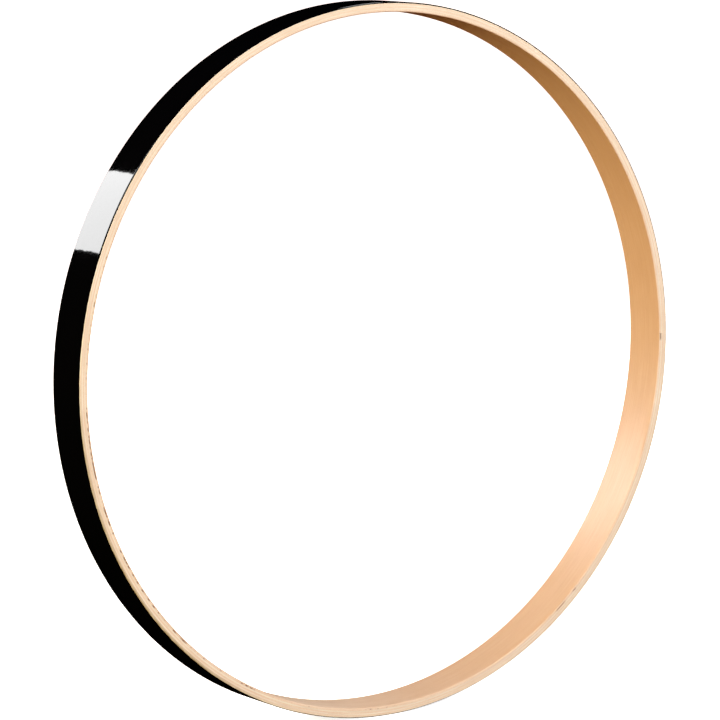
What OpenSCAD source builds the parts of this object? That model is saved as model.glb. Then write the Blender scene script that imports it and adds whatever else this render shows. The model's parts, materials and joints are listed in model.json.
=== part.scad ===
// Laminated maple hoop for one end of a 22 inch bass drum.
// Seven plies are bent into rings and glued one inside the next. The grain of the
// four outer and core plies runs round the hoop, and that of the three crossbands
// between them runs across its width. The outside is coated with black gloss lacquer.
// The hoop stands on its rim as it does on a drum. Y is its axis, with the front
// edge at -Y, and the origin is at the middle of its bore.

/* [Hoop] */
// Inside diameter, which clears the collar of a 22 inch drumhead
bore_d = 572; // [320:1:720]
// Width of the hoop along its axis
hoop_w = 39.5; // [25:0.5:60]
// Radius that the four long edges are eased to
edge_round = 1; // [0.4:0.1:2]

/* [Plies] */
// Thickness of each maple ply
ply_t = 1.14; // [0.8:0.02:1.6]
// Width of the glue line in a closed joint between the two ends of one ply
glue_gap = 0.15; // [0.1:0.01:0.3]
// Width of the joint left open between the two ends of the inner crossband
open_gap = 5.4; // [1:0.1:8]
// Turn from the joint of one ply to the joint of the next, so that no two joints meet
joint_turn = 154; // [130:1:165]

/* [Lacquer] */
// Thickness of the black lacquer on the outside
lacquer_t = 0.25; // [0.15:0.05:0.5]

/* [Colours] */
// Maple seen along its grain
long_grain_colour = "wheat"; // [wheat, burlywood, tan]
// Maple seen on its end grain
cross_grain_colour = "burlywood"; // [wheat, burlywood, tan]
// Lacquer
lacquer_colour = "black"; // [black, white, darkred]

/* [Hidden] */
$fn = 180;
cut_over = 1;      // how far a cutting tool runs past what it cuts
ply_count = 7;
open_joint = 5;    // index of the ply whose joint is left open, counted from the outside

bore_r = bore_d / 2;
wood_t = ply_count * ply_t;
wood_r = bore_r + wood_t;

function ply_inner_r(index) = wood_r - (index + 1) * ply_t;
function is_crossband(index) = index % 2 == 1;
function joint_angle(index) = (index - open_joint) * joint_turn;

// Turns a ring that was made round Z onto its rim, with its +Z end at the front.
module on_its_rim() {
    rotate([90, 0, 0])
        children();
}

// A rectangle with four round corners, in the plane of the hoop's section.
module rounded_section(inner_r, thickness, corner_r) {
    translate([inner_r, corner_r - hoop_w / 2])
        square([thickness, hoop_w - 2 * corner_r]);
    translate([inner_r + corner_r, -hoop_w / 2])
        square([thickness - 2 * corner_r, hoop_w]);
    for (x = [inner_r + corner_r, inner_r + thickness - corner_r])
        for (side = [-1, 1])
            translate([x, side * (hoop_w / 2 - corner_r)])
                circle(r = corner_r);
}

// The section of all the wood together, before it is split into plies.
module wood_section() {
    rounded_section(bore_r, wood_t, edge_round);
}

// The slot between a ply's two square-cut ends, centred on the X axis.
module butt_slot(gap, inner_r) {
    slot_w = hoop_w + 2 * cut_over;
    translate([inner_r - cut_over, -gap / 2, -slot_w / 2])
        cube([ply_t + 2 * cut_over, gap, slot_w]);
}

// One ply, with the joint where its two ends meet.
module ply(index) {
    inner_r = ply_inner_r(index);
    difference() {
        rotate_extrude()
            intersection() {
                wood_section();
                translate([inner_r, -hoop_w / 2])
                    square([ply_t, hoop_w]);
            }
        rotate([0, 0, joint_angle(index)])
            butt_slot(index == open_joint ? open_gap : glue_gap, inner_r);
    }
}

module long_grain_ply(index) {
    color(long_grain_colour)
        on_its_rim()
            ply(index);
}

module crossband_ply(index) {
    color(cross_grain_colour)
        on_its_rim()
            ply(index);
}

// The coat covers the outside wall and its two eased edges, and ends level with the wood's sides.
module black_lacquer() {
    color(lacquer_colour)
        on_its_rim()
            rotate_extrude()
                difference() {
                    translate([wood_r - edge_round, 0])
                        intersection() {
                            translate([0, -hoop_w / 2])
                                square([edge_round + lacquer_t, hoop_w]);
                            coat_outline();
                        }
                    wood_section();
                }
}

// The outside of the coat, which follows the eased edges at the coat's thickness.
module coat_outline() {
    coat_round = edge_round + lacquer_t;
    square([2 * coat_round, hoop_w - 2 * edge_round], center = true);
    for (side = [-1, 1])
        translate([0, side * (hoop_w / 2 - edge_round)])
            circle(r = coat_round);
}

long_grain_ply(0);  // outer_face_ply
crossband_ply(1);  // outer_crossband
long_grain_ply(2);  // outer_core_ply
crossband_ply(3);  // middle_crossband
long_grain_ply(4);  // inner_core_ply
crossband_ply(5);  // inner_crossband
long_grain_ply(6);  // inner_face_ply
black_lacquer();
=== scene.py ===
import json
import math

import bmesh
import bpy
from mathutils import Matrix, Vector, noise


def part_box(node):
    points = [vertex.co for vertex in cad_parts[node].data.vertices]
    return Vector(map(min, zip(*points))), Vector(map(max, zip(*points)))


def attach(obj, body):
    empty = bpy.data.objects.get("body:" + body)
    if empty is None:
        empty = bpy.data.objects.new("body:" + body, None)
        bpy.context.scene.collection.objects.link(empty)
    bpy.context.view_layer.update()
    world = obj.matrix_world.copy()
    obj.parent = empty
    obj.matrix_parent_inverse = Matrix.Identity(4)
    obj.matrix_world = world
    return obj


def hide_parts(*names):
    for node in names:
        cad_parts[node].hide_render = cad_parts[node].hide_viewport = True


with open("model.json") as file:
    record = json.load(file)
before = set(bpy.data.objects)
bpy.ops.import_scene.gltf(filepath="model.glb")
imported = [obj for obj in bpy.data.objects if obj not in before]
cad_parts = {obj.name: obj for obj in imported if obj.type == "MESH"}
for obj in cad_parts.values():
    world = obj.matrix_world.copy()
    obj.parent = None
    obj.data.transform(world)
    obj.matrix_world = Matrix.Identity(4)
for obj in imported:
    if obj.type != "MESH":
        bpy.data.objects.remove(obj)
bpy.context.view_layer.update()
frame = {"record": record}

# A laminated maple bass drum hoop, standing on its rim. Y is its axis and the front edge is at -Y.
# Angles run anticlockwise from +X, as seen from the front.

MM = 0.001
record = frame["record"]

# ---------------------------------------------------------------- sizes

PLIES = (  # from the inside out
    "inner_face_ply",
    "inner_crossband",
    "inner_core_ply",
    "middle_crossband",
    "outer_core_ply",
    "outer_crossband",
    "outer_face_ply",
)
BORE_R = next(m["dims"]["r_mm"] for m in record["mounts"] if m["kind"] == "bore") * MM
HALF_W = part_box("middle_crossband")[1][1]
WOOD_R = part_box("outer_face_ply")[1][0]
OUTER_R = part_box("black_lacquer")[1][0]
RIM_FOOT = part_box("black_lacquer")[0][2]
PLY_T = (WOOD_R - BORE_R) / len(PLIES)

EDGE_ROUND = 1.0 * MM
GLUE_GAP = 0.15 * MM
OPEN_GAP = 5.4 * MM
OPEN_JOINT = 1  # the inner crossband's place in PLIES
JOINT_TURN = 154  # degrees from the joint of one ply to the next

FLAT_MARGIN = 0.3 * MM
FLAT_EDGE = HALF_W - EDGE_ROUND - FLAT_MARGIN  # a loop here keeps the shading of each wall flat
RING_STEPS = 480
TORN_RING_STEPS = 1440
ARRIS_STEPS = 6
SHARP_ANGLE = math.radians(35)
TOLERANCE = 0.01 * MM

# Stretches of the front edge where the router tore the inner crossband's end grain: where each one
# starts and ends in degrees, and how badly it tore, from 0 to 1
TORN_STRETCHES = (
    (158, 179, 0.35),
    (182, 194, 0.6),
    (194, 243, 0.42),
    (243, 256, 0.25),
    (265, 272, 0.35),
    (307.5, 310.3, 1.0),
    (312.3, 313.5, 1.0),
)
TEAR_FADE = 0.4  # degrees over which a stretch starts and ends
TEAR_LIMITS = (0.42, 0.62)  # where the end grain starts to tear, and where it has torn fully
TEAR_NOISE = 0.5
LIP_TINT_AND_SHADE = 0.3  # how much of the brown tint and painted shade of a pit's floor its lip gets
PIT_DEPTH = 0.8 * MM
PIT_LENGTH = 2.1 * MM
PIT_LIP = (0.06 * MM, 0.90 * MM)  # the sides of the row of pits, from the ply's inner face
PIT_FLOOR = (0.26 * MM, 0.70 * MM)

LACQUER_END = math.radians(60)  # how far round the eased edge the lacquer reaches
LACQUER_LEAN = math.radians(24)  # it reaches this much further on the side that LEAN_SIDE points to
LEAN_SIDE = math.radians(78)
LACQUER_LIMIT = math.radians(82)
LACQUER_THINNING = 0.85  # the share of its thickness that it has lost at its end
RAGGED = math.radians(9)
COARSE_WAVES = 90  # waves of the ragged line per radian
FINE_WAVES = 260
# the outer plies' edges are darkened in olive patches towards this angle
DARKER_SIDE = math.radians(212)


def joint_angle(place):
    return math.radians((OPEN_JOINT - place) * JOINT_TURN)


def polar(point):
    """Radius, and angle from 0 to a full turn, of a point about the hoop's axis."""
    return math.hypot(point.x, point.z), math.atan2(point.z, point.x) % math.tau


def smooth(low, high, value):
    share = min(1, max(0, (value - low) / (high - low)))
    return share * share * (3 - 2 * share)


# ---------------------------------------------------------------- materials


def rgb(hex_colour):
    """An sRGB hex colour as linear RGBA."""
    parts = [int(hex_colour[i : i + 2], 16) / 255 for i in (0, 2, 4)]
    linear = [c / 12.92 if c <= 0.04045 else ((c + 0.055) / 1.055) ** 2.4 for c in parts]
    return (*linear, 1.0)


def add(tree, kind, inputs=None, **settings):
    """Adds a node, with its settings, and sets or links each of its inputs."""
    node = tree.nodes.new(kind)
    for name, value in settings.items():
        setattr(node, name, value)
    for name, value in (inputs or {}).items():
        if isinstance(value, bpy.types.NodeSocket):
            tree.links.new(value, node.inputs[name])
        else:
            node.inputs[name].default_value = value
    return node


def new_material(name):
    material = bpy.data.materials.new(name)
    material.use_nodes = True
    material.node_tree.nodes.clear()
    return material, material.node_tree


def finish_material(tree, shader):
    add(tree, "ShaderNodeOutputMaterial", {"Surface": shader.outputs[0]})


def grain(tree, sizes_mm, detail, roughness=0.55, shift=0.0):
    """Noise on the ply's own strip, stretched to a grain this long, wide and deep in millimetres."""
    strip = add(tree, "ShaderNodeAttribute", attribute_name="strip")
    place = add(
        tree,
        "ShaderNodeMapping",
        {
            "Vector": strip.outputs["Vector"],
            "Location": (shift, shift, shift),
            "Scale": [1 / (size * MM) for size in sizes_mm],
        },
    )
    pattern = add(
        tree,
        "ShaderNodeTexNoise",
        {"Vector": place.outputs[0], "Scale": 1.0, "Detail": detail, "Roughness": roughness},
    )
    return pattern.outputs["Fac"]


def step(tree, value, low, high, to_low=0.0, to_high=1.0):
    node = add(
        tree,
        "ShaderNodeMapRange",
        {"Value": value, "From Min": low, "From Max": high, "To Min": to_low, "To Max": to_high},
        interpolation_type="SMOOTHSTEP",
    )
    return node.outputs[0]


def blend(tree, share, first, second):
    node = add(tree, "ShaderNodeMix", data_type="RGBA")
    for name, value in (("Factor", share), ("A", first), ("B", second)):
        kind = "VALUE" if name == "Factor" else "RGBA"
        socket = next(s for s in node.inputs if s.name == name and s.type == kind)
        if isinstance(value, bpy.types.NodeSocket):
            tree.links.new(value, socket)
        else:
            socket.default_value = value
    return next(s for s in node.outputs if s.type == "RGBA")


def darken_towards_low_left(tree, wood, darkening):
    """Darkens a ply's edge in olive patches, towards the lower left."""
    place = add(tree, "ShaderNodeTexCoord").outputs["Object"]
    low_left = (math.cos(DARKER_SIDE) / WOOD_R, 0, math.sin(DARKER_SIDE) / WOOD_R)
    lean = add(tree, "ShaderNodeVectorMath", {0: place, 1: low_left}, operation="DOT_PRODUCT")
    patches = step(tree, grain(tree, (7, 30, 0.9), 3, shift=11), 0.25, 0.6, 0.4 * darkening, darkening)
    share = add(
        tree,
        "ShaderNodeMath",
        {0: patches, 1: step(tree, lean.outputs["Value"], 0.78, 0.97)},
        operation="MULTIPLY",
    )
    return blend(tree, share.outputs[0], wood, rgb("8C7A4A"))


EDGE_TINTS = (  # light and dark grain on the routed edges, from the innermost long-grain ply out
    ("EBD9C1", "E2CCAF"),
    ("F3ECD8", "EADFC4"),
    ("F3ECD8", "EADFC4"),
    ("FBF6DC", "F4EBC8"),
)


def maple_along_the_grain(ply_place):
    # Rotary-cut rock maple with fine short flecks and a faint cloudy figure along the strip. The
    # wide face has ambered under its clear satin lacquer, and the routed edges are paler.
    material, tree = new_material(f"maple_veneer_long_grain_{ply_place}")
    shift = 7.3 * ply_place
    fibres = grain(tree, (46, 1.1, 0.5), 4, shift=shift)
    clouds = grain(tree, (38, 14, 6), 3, shift=shift + 2)
    flecks = step(tree, grain(tree, (5, 0.5, 0.35), 2, shift=shift + 5), 0.6, 0.72)
    face = blend(tree, step(tree, fibres, 0.3, 0.7), rgb("D2B296"), rgb("CBA685"))
    pale, dark = EDGE_TINTS[ply_place // 2]
    edge = blend(tree, step(tree, fibres, 0.3, 0.7), rgb(pale), rgb(dark))
    if ply_place == 0:
        strip = add(tree, "ShaderNodeAttribute", attribute_name="strip")
        across = add(tree, "ShaderNodeSeparateXYZ", {"Vector": strip.outputs["Vector"]}).outputs["Y"]
        from_middle = add(tree, "ShaderNodeMath", {0: across}, operation="ABSOLUTE").outputs[0]
        on_edge = step(tree, from_middle, HALF_W - 0.4 * EDGE_ROUND, HALF_W - 0.05 * EDGE_ROUND)
        wood = blend(tree, on_edge, face, edge)
    else:
        wood = edge
    wood = blend(tree, step(tree, clouds, 0.35, 0.7, 0, 0.3), wood, rgb("C4A07F"))
    wood = blend(tree, step(tree, flecks, 0, 1, 0, 0.3), wood, rgb("AA7B4F"))
    if ply_place == len(PLIES) - 1:
        wood = darken_towards_low_left(tree, wood, 0.85)
    bump = add(tree, "ShaderNodeBump", {"Height": fibres, "Strength": 0.25, "Distance": 0.05 * MM})
    shader = add(
        tree,
        "ShaderNodeBsdfPrincipled",
        {
            "Base Color": wood,
            "Roughness": step(tree, clouds, 0.3, 0.7, 0.42, 0.55),
            "IOR": 1.5,
            "Coat Weight": 1.0,
            "Coat Roughness": 0.45,
            "Coat IOR": 1.85,
            "Normal": bump.outputs[0],
        },
    )
    finish_material(tree, shader)
    return material


def maple_across_the_grain(ply_place):
    # Maple cut across its grain: the edge shows open end grain, which drinks lacquer and looks
    # darker and pinker than the plies beside it. Where it tore it is tinted brown, with painted
    # shade that is darkest on the floors of the pits.
    material, tree = new_material(f"maple_veneer_end_grain_{ply_place}")
    shift = 3.1 * ply_place
    pores = grain(tree, (0.8, 30, 0.5), 3, shift=shift)
    bands = grain(tree, (22, 40, 1.2), 3, shift=shift + 4)
    wood = blend(tree, step(tree, pores, 0.3, 0.7), rgb("F0E2CA"), rgb("E4D0B2"))
    wood = blend(tree, step(tree, bands, 0.35, 0.65, 0, 0.45), wood, rgb("E0C3A4"))
    if ply_place == len(PLIES) - 2:
        wood = darken_towards_low_left(tree, wood, 0.45)
    # brown tint where the end grain tore, with painted shade that is darkest on the floors of the
    # pits
    tear_tint_and_pit_shade = add(tree, "ShaderNodeAttribute", attribute_name="tear_tint_and_pit_shade")
    wood = blend(tree, tear_tint_and_pit_shade.outputs["Fac"], wood, rgb("94634C"))
    bump = add(tree, "ShaderNodeBump", {"Height": pores, "Strength": 0.4, "Distance": 0.06 * MM})
    shader = add(
        tree,
        "ShaderNodeBsdfPrincipled",
        {
            "Base Color": wood,
            "Roughness": step(tree, pores, 0.3, 0.7, 0.5, 0.62),
            "IOR": 1.5,
            "Coat Weight": 0.3,
            "Coat Roughness": 0.35,
            "Normal": bump.outputs[0],
        },
    )
    finish_material(tree, shader)
    return material


def black_gloss_lacquer():
    # Sprayed and buffed black polyurethane: deep black with a sharp reflection, and a slight
    # orange peel that makes the ends of the reflection wavy.
    material, tree = new_material("black_gloss_lacquer_sprayed")
    place = add(tree, "ShaderNodeTexCoord").outputs["Object"]
    peel = add(
        tree,
        "ShaderNodeTexNoise",
        {"Vector": place, "Scale": 1 / (7 * MM), "Detail": 1.0, "Roughness": 0.4},
    )
    bump = add(
        tree,
        "ShaderNodeBump",
        {"Height": peel.outputs["Fac"], "Strength": 0.35, "Distance": 0.06 * MM},
    )
    shader = add(
        tree,
        "ShaderNodeBsdfPrincipled",
        {
            "Base Color": rgb("020203"),
            "Roughness": 0.04,
            "IOR": 1.5,
            "Normal": bump.outputs[0],
        },
    )
    finish_material(tree, shader)
    return material


# ---------------------------------------------------------------- pieces


def add_piece(name, bm, material, node):
    """Makes a finished piece of the bmesh, which stands for a CAD node."""
    bmesh.ops.recalc_face_normals(bm, faces=bm.faces)
    mesh = bpy.data.meshes.new(name)
    bm.to_mesh(mesh)
    bm.free()
    mesh.shade_smooth()
    mesh.set_sharp_from_angle(angle=SHARP_ANGLE)
    mesh.materials.append(material)
    piece = bpy.data.objects.new(name, mesh)
    bpy.context.scene.collection.objects.link(piece)
    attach(piece, "root")
    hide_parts(node)
    return piece


def section_face(bm, outline):
    """A face in the plane of the hoop's section, from its corners' radius and Y."""
    return bm.faces.new([bm.verts.new((radius, y, 0)) for radius, y in outline])


def spin_round(bm, face, start, sweep, steps):
    """Carries a section's outline round the hoop's axis, and closes both ends of an open strip."""
    full = sweep is None
    bmesh.ops.rotate(bm, verts=face.verts[:], cent=(0, 0, 0), matrix=Matrix.Rotation(-start, 3, "Y"))
    outline = face.edges[:]
    if full:
        bmesh.ops.delete(bm, geom=[face], context="FACES_ONLY")
    made = bmesh.ops.spin(
        bm,
        geom=outline,
        cent=(0, 0, 0),
        axis=(0, -1, 0),
        angle=math.tau if full else sweep,
        steps=steps,
        use_merge=full,
    )
    if not full:
        last = [e for e in made["geom_last"] if isinstance(e, bmesh.types.BMEdge)]
        bmesh.ops.contextual_create(bm, geom=last)


def tear(angle):
    """How badly the end grain tore at this angle, from 0 to 1."""
    degrees = math.degrees(angle)
    worst = 0
    for low, high, badly in TORN_STRETCHES:
        inside = smooth(low, low + TEAR_FADE, degrees) * (1 - smooth(high - TEAR_FADE, high, degrees))
        worst = max(worst, inside * badly)
    chips = noise.noise(Vector((angle * BORE_R / PIT_LENGTH, 0.5, 0.5)))
    return smooth(*TEAR_LIMITS, TEAR_NOISE * chips + worst) if worst else 0


def ply_strip(place, node):
    """One veneer bent to a ring, with square ends that meet at its joint."""
    low = BORE_R + place * PLY_T
    high = low + PLY_T
    middle = (low + high) / 2
    torn_ply = place == OPEN_JOINT
    gap = (OPEN_GAP if torn_ply else GLUE_GAP) / middle

    bm = bmesh.new()
    outline = [(low, -HALF_W), (high, -HALF_W), (high, HALF_W), (low, HALF_W)]
    if place == 0:
        outline += [(low, FLAT_EDGE), (low, -FLAT_EDGE)]
    if place == len(PLIES) - 1:
        outline[2:2] = [(high, -FLAT_EDGE), (high, FLAT_EDGE)]
    if torn_ply:
        outline[1:1] = [(low + in_ply, -HALF_W) for in_ply in sorted(PIT_LIP + PIT_FLOOR)]
    face = section_face(bm, outline)
    eased = [
        v
        for v in face.verts
        if abs(v.co.y) > FLAT_EDGE + EDGE_ROUND / 2
        and ((place == 0 and v.co.x < middle) or (place == len(PLIES) - 1 and v.co.x > middle))
    ]
    if eased:
        bmesh.ops.bevel(
            bm,
            geom=eased,
            affect="VERTICES",
            offset=EDGE_ROUND,
            offset_type="OFFSET",
            segments=ARRIS_STEPS,
            profile=0.5,
            material=-1,
        )
    bm.faces.ensure_lookup_table()
    face = bm.faces[0]
    start = joint_angle(place) + gap / 2
    spin_round(bm, face, start, math.tau - gap, TORN_RING_STEPS if torn_ply else RING_STEPS)

    strip = bm.verts.layers.float_vector.new("strip")
    tear_tint_and_pit_shade = bm.verts.layers.float.new("tear_tint_and_pit_shade")
    for v in bm.verts:
        radius, angle = polar(v.co)
        along = (angle - joint_angle(place)) % math.tau
        v[strip] = (along * middle, v.co.y, radius - low)
        depth = radius - low
        if torn_ply and v.co.y < 0 and PIT_LIP[0] / 2 < depth < (PIT_LIP[1] + PLY_T) / 2:
            in_pit = PIT_FLOOR[0] - TOLERANCE < depth < PIT_FLOOR[1] + TOLERANCE
            torn_here = tear(angle)
            # pit floors take the full brown tint and painted shade, and their lips a share of it
            v[tear_tint_and_pit_shade] = torn_here * (1.0 if in_pit else LIP_TINT_AND_SHADE)
            v.co.y += PIT_DEPTH * torn_here * in_pit
    if place % 2:
        material, slot = maple_across_the_grain(place), "maple_cross_grain"
    else:
        material, slot = maple_along_the_grain(place), "maple_long_grain"
    return add_piece(f"{node}_strip", bm, material, node)


def lacquer_coat():
    """The sprayed coat, which thins out round both eased edges and ends in a ragged line."""
    arris_r = WOOD_R - EDGE_ROUND
    arris_y = HALF_W - EDGE_ROUND
    bm = bmesh.new()
    outside = [(OUTER_R, y) for y in (-arris_y, -FLAT_EDGE, FLAT_EDGE, arris_y)]
    wall = section_face(bm, [(WOOD_R, -arris_y), *outside, (WOOD_R, arris_y)])
    for side in (-1, 1):
        end = [
            e for e in wall.edges if all(abs(v.co.y - side * arris_y) < TOLERANCE for v in e.verts)
        ]
        bmesh.ops.spin(
            bm,
            geom=end,
            cent=(arris_r, side * arris_y, 0),
            axis=(0, 0, side),
            angle=LACQUER_END,
            steps=ARRIS_STEPS + 2,
        )
    whole = bmesh.ops.dissolve_faces(bm, faces=bm.faces[:], use_verts=False)["region"][0]
    spin_round(bm, whole, 0, None, RING_STEPS)
    for v in bm.verts:
        radius, angle = polar(v.co)
        side = math.copysign(1, v.co.y)
        turn = math.atan2(abs(v.co.y) - arris_y, radius - arris_r)
        if turn <= 0:
            continue
        thick = math.hypot(abs(v.co.y) - arris_y, radius - arris_r) - EDGE_ROUND
        share = turn / LACQUER_END
        coarse = noise.noise(Vector((angle * COARSE_WAVES, side * 5, 0)))
        fine = noise.noise(Vector((angle * FINE_WAVES, side * 9, 3)))
        wander = coarse + 0.5 * fine
        lean = LACQUER_LEAN * math.cos(angle - LEAN_SIDE)
        turn = share * min(LACQUER_END + RAGGED * wander + lean, LACQUER_LIMIT)
        thinned = max(share, min(1, turn / LACQUER_END))
        reach = EDGE_ROUND + thick * (1 - LACQUER_THINNING * thinned * thinned)
        scale = (arris_r + reach * math.cos(turn)) / radius
        v.co.x *= scale
        v.co.z *= scale
        v.co.y = side * (arris_y + reach * math.sin(turn))
    return add_piece("black_lacquer_coat", bm, black_gloss_lacquer(), "black_lacquer")


for place, node in enumerate(PLIES):
    ply_strip(place, node)
lacquer_coat()

# ---------------------------------------------------------------- camera

CAMERA_LEFT = math.radians(35.107)  # how far the camera stands to the left of the hoop's axis
CAMERA_RISE = math.radians(7.935)
CAMERA_DISTANCE = 10.652 * OUTER_R
CAMERA_ASIDE = 0.0403 * OUTER_R  # the hoop's centre is this far right of the middle of the view
CAMERA_ABOVE = 0.0010 * OUTER_R  # and this far below it
LENS_MM = 190.78

away = Vector(
    (
        -math.sin(CAMERA_LEFT) * math.cos(CAMERA_RISE),
        -math.cos(CAMERA_LEFT) * math.cos(CAMERA_RISE),
        math.sin(CAMERA_RISE),
    )
)
to_right = away.cross((0, 0, -1)).normalized()
camera_data = bpy.data.cameras.new("camera")
camera_data.lens = LENS_MM
camera_data.sensor_width = 36
camera_data.clip_end = 100
camera = bpy.data.objects.new("camera", camera_data)
bpy.context.scene.collection.objects.link(camera)
to_top = away.cross(to_right)
camera.location = away * CAMERA_DISTANCE - to_right * CAMERA_ASIDE + to_top * CAMERA_ABOVE
camera.rotation_mode = "QUATERNION"
camera.rotation_quaternion = (-away).to_track_quat("-Z", "Y")
bpy.context.scene.camera = camera

# ---------------------------------------------------------------- light and stage


def mirrored(angle, distance):
    """The point this far away that the lacquered wall mirrors to the camera at this angle."""
    normal = Vector((math.cos(angle), 0, math.sin(angle)))
    spot = normal * OUTER_R
    ray = (spot - camera.location).normalized()
    return spot + ray.reflect(normal) * distance


def add_panel(name, centre, size, power, colour, aim=(0, 0, 0), upwards=(0, 0, 1)):
    """A soft area light that the camera doesn't see, turned towards aim."""
    data = bpy.data.lights.new(name, "AREA")
    data.shape = "RECTANGLE"
    data.size, data.size_y = size
    data.energy = power
    data.color = colour
    light = bpy.data.objects.new(name, data)
    bpy.context.scene.collection.objects.link(light)
    facing = (Vector(centre) - Vector(aim)).normalized()
    across = Vector(upwards).cross(facing).normalized()
    turned = Matrix((across, facing.cross(across), facing)).transposed()
    light.matrix_world = Matrix.Translation(centre) @ turned.to_4x4()
    light.visible_camera = False
    return light


# The softbox whose reflection lies across the lacquer. Its width is parallel to the hoop's axis, so
# the reflection ends square across the hoop, and it reaches back far enough to shine in the satin
# finish of the inner wall too.
SOFTBOX_DISTANCE = 1.6
SOFTBOX_W = 1.4
SOFTBOX_SHIFT = 0.42
SOFTBOX_TOP = math.radians(145.3)  # the angles on the lacquer where its reflection starts and ends
SOFTBOX_FOOT = math.radians(158.5)
WHITE = (1.0, 1.0, 1.0)

top = mirrored(SOFTBOX_TOP, SOFTBOX_DISTANCE)
foot = mirrored(SOFTBOX_FOOT, SOFTBOX_DISTANCE)
rise = Vector((top.x - foot.x, 0, top.z - foot.z))
middle = (top + foot) / 2 + Vector((0, SOFTBOX_SHIFT, 0))
add_panel(
    "softbox_behind",
    middle,
    (SOFTBOX_W, rise.length),
    20,
    WHITE,
    aim=middle - rise.cross((0, 1, 0)),
    upwards=rise,
)
overhead = add_panel("overhead_bank", (-0.72, 0.3, 2.0), (1.4, 1.4), 28, (0.7, 0.86, 1.0))
warm = add_panel("warm_fill", (-2.2, -0.1, 0.25), (1.2, 1.2), 68, (1.0, 0.83, 0.38))
front = add_panel("front_bank", (1.0, -3.0, 1.3), (2.0, 2.0), 122, (0.9, 0.96, 1.0))
for unseen in (overhead, warm, front):
    unseen.visible_glossy = False
add_panel("front_left_bank", (-1.7, -2.2, 1.9), (1.0, 1.0), 20, WHITE)
add_panel("rear_right_strip", (1.75, 1.65, 0.9), (0.3, 1.4), 12, (1.0, 0.86, 0.66))
# Only its reflection is wanted: it shows the gloss of the side that the softbox doesn't reach
shine = add_panel("right_shine_strip", (0.9, 0.0, 1.9), (1.4, 0.3), 9, WHITE)
shine.visible_diffuse = False

world = bpy.data.worlds.new("studio")
world.use_nodes = True
world.node_tree.nodes["Background"].inputs["Color"].default_value = rgb("FF893F")
world.node_tree.nodes["Background"].inputs["Strength"].default_value = 0.25
world.cycles_visibility.glossy = False
bpy.context.scene.world = world
bpy.context.scene.view_settings.view_transform = "Standard"


def white_sweep(name, low, high):
    """White paper that glows from low by the hoop to high far off, with a soft contact shadow."""
    material, tree = new_material(name)
    place = add(tree, "ShaderNodeTexCoord").outputs["Object"]
    distance = add(tree, "ShaderNodeVectorMath", {0: place}, operation="LENGTH").outputs["Value"]
    glow = step(tree, distance, 0.5, 2.5, low, high)
    shader = add(
        tree,
        "ShaderNodeBsdfPrincipled",
        {
            "Base Color": rgb("F2F2F2"),
            "Roughness": 0.9,
            "Specular IOR Level": 0.0,
            "Emission Color": rgb("FFFFFF"),
            "Emission Strength": glow,
        },
    )
    finish_material(tree, shader)
    return material


def add_stage(name, bm, material):
    mesh = bpy.data.meshes.new(name)
    bm.to_mesh(mesh)
    bm.free()
    mesh.shade_smooth()
    mesh.materials.append(material)
    thing = bpy.data.objects.new(name, mesh)
    bpy.context.scene.collection.objects.link(thing)
    thing.visible_diffuse = False
    thing.visible_glossy = False
    thing.visible_shadow = False


STAGE_R = 9.0
STAGE_STEPS = 96
floor = bmesh.new()
bmesh.ops.create_circle(floor, cap_ends=True, radius=STAGE_R, segments=STAGE_STEPS)
bmesh.ops.translate(floor, verts=floor.verts, vec=(0, 0, RIM_FOOT))
add_stage("floor", floor, white_sweep("white_paper_floor", 0.82, 1.1))
backdrop = bmesh.new()
bmesh.ops.create_cone(
    backdrop,
    cap_ends=False,
    radius1=STAGE_R,
    radius2=STAGE_R,
    depth=STAGE_R,
    segments=STAGE_STEPS,
)
bmesh.ops.translate(backdrop, verts=backdrop.verts, vec=(0, 0, STAGE_R / 2 + RIM_FOOT))
bmesh.ops.reverse_faces(backdrop, faces=backdrop.faces)
add_stage("backdrop", backdrop, white_sweep("white_paper_backdrop", 1.1, 1.1))
